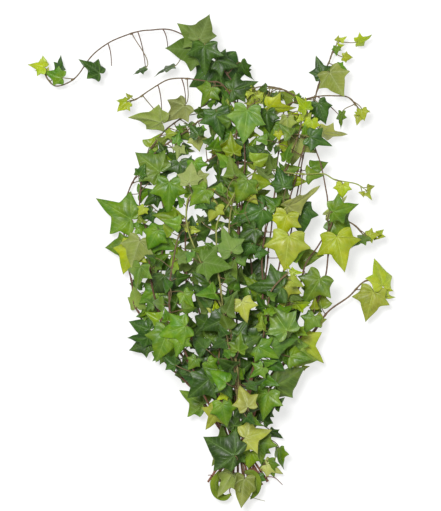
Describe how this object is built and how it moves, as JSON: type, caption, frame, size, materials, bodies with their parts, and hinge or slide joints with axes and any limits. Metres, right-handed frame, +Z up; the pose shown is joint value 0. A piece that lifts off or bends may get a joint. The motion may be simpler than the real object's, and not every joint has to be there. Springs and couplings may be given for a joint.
{
  "type": "bunch of cut ivy",
  "caption": "Bunch of cut ivy trails with lobed leaves, tied near the cut stem ends and laid flat so that the trails fan out over the surface.",
  "frame": {"origin": "centre of the footprint, on the surface the bunch lies on", "axes": "+Y from the cut stem ends towards the tips of the trails, +Z up off the surface, +X to the right seen from above with the tips away from the viewer"},
  "size_m": [0.4432, 0.5925, 0.1183],
  "materials": {
    "ivy_dark": "satin",
    "ivy_mid": "satin",
    "ivy_young": "satin",
    "tie": "matte"
  },
  "bodies": {
    "root": {"ivy_trail_01": "ivy_dark", "ivy_trail_02": "ivy_young", "ivy_trail_03": "ivy_mid", "ivy_trail_04": "ivy_mid", "ivy_trail_05": "ivy_dark", "ivy_trail_06": "ivy_mid", "ivy_trail_07": "ivy_mid", "ivy_trail_08": "ivy_mid", "ivy_trail_09": "ivy_mid", "ivy_trail_10": "ivy_mid", "ivy_trail_11": "ivy_mid", "ivy_trail_12": "ivy_young", "ivy_trail_13": "ivy_dark", "ivy_trail_14": "ivy_dark", "ivy_trail_15": "ivy_dark", "ivy_trail_16": "ivy_mid", "ivy_trail_17": "ivy_young", "ivy_trail_18": "ivy_mid", "ivy_trail_19": "ivy_young", "ivy_trail_20": "ivy_dark", "ivy_trail_21": "ivy_dark", "ivy_trail_22": "ivy_dark", "ivy_trail_23": "ivy_dark", "ivy_trail_24": "ivy_young", "tie_band": "tie"}
  },
  "joints": []
}
